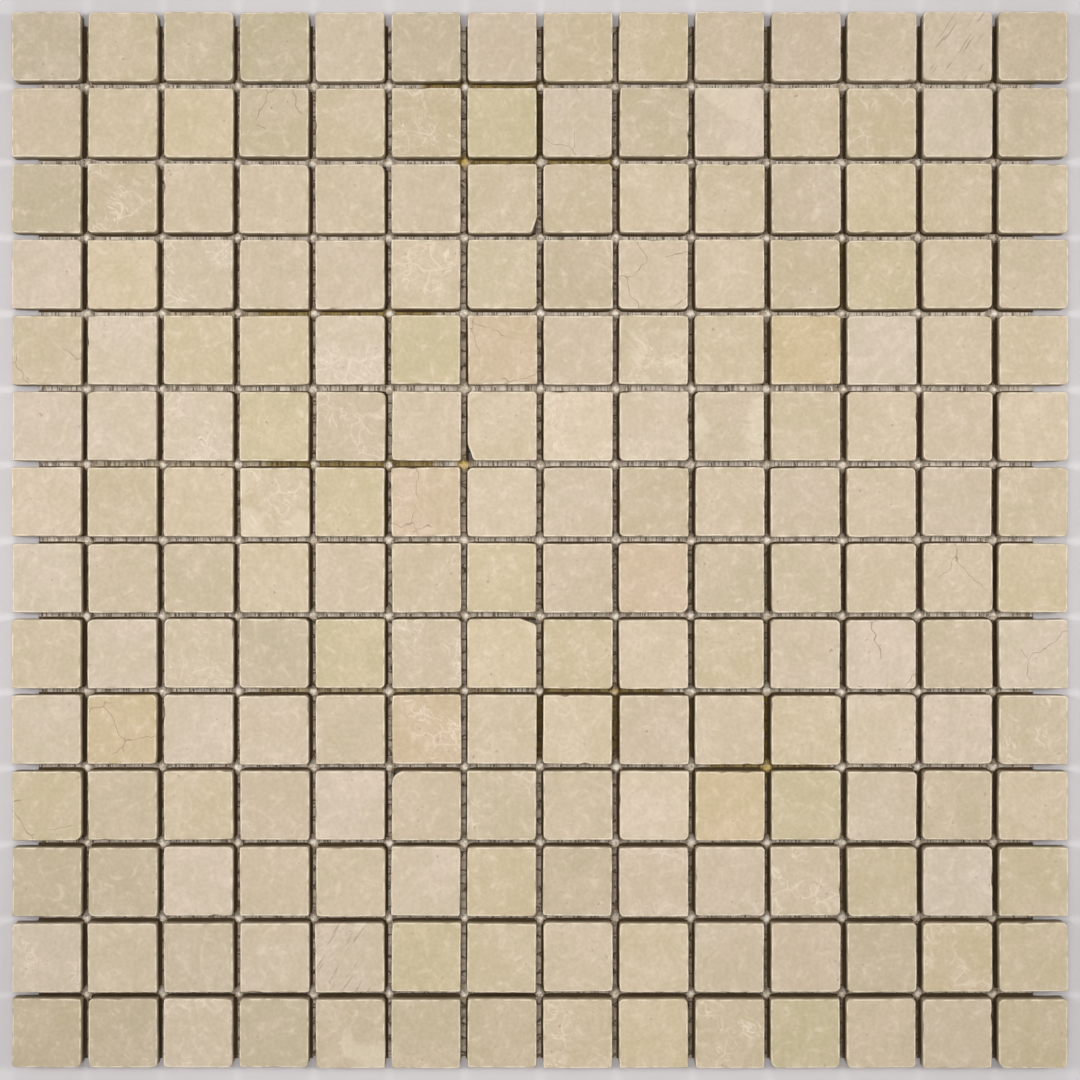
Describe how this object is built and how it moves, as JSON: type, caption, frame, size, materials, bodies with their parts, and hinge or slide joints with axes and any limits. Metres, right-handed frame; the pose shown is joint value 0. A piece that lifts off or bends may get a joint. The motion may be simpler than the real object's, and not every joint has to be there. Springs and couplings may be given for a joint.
{
  "type": "mosaic tile sheet",
  "caption": "Square sheet of small pale stone chips, set face up with open joints on a glass-fibre mesh, for cladding walls and floors.",
  "frame": {"origin": "middle of the sheet's underside, on the underside of the mesh", "axes": "+Z out of the chips' faces, +X along the rows of chips, +Y across them towards the first row"},
  "size_m": [0.305, 0.305, 0.0044],
  "materials": {
    "stone": "honed, pale beige, edges worn",
    "glass_fibre": "white coated glass-fibre yarn",
    "glue": "dried white glue, slightly translucent"
  },
  "bodies": {
    "root": {"tile_row_01": "stone", "tile_row_02": "stone", "tile_row_03": "stone", "tile_row_04": "stone", "tile_row_05": "stone", "tile_row_06": "stone", "tile_row_07": "stone", "tile_row_08": "stone", "tile_row_09": "stone", "tile_row_10": "stone", "tile_row_11": "stone", "tile_row_12": "stone", "tile_row_13": "stone", "tile_row_14": "stone", "mesh_warp": "glass_fibre", "mesh_weft": "glass_fibre", "glue_beads": "glue"}
  },
  "joints": []
}
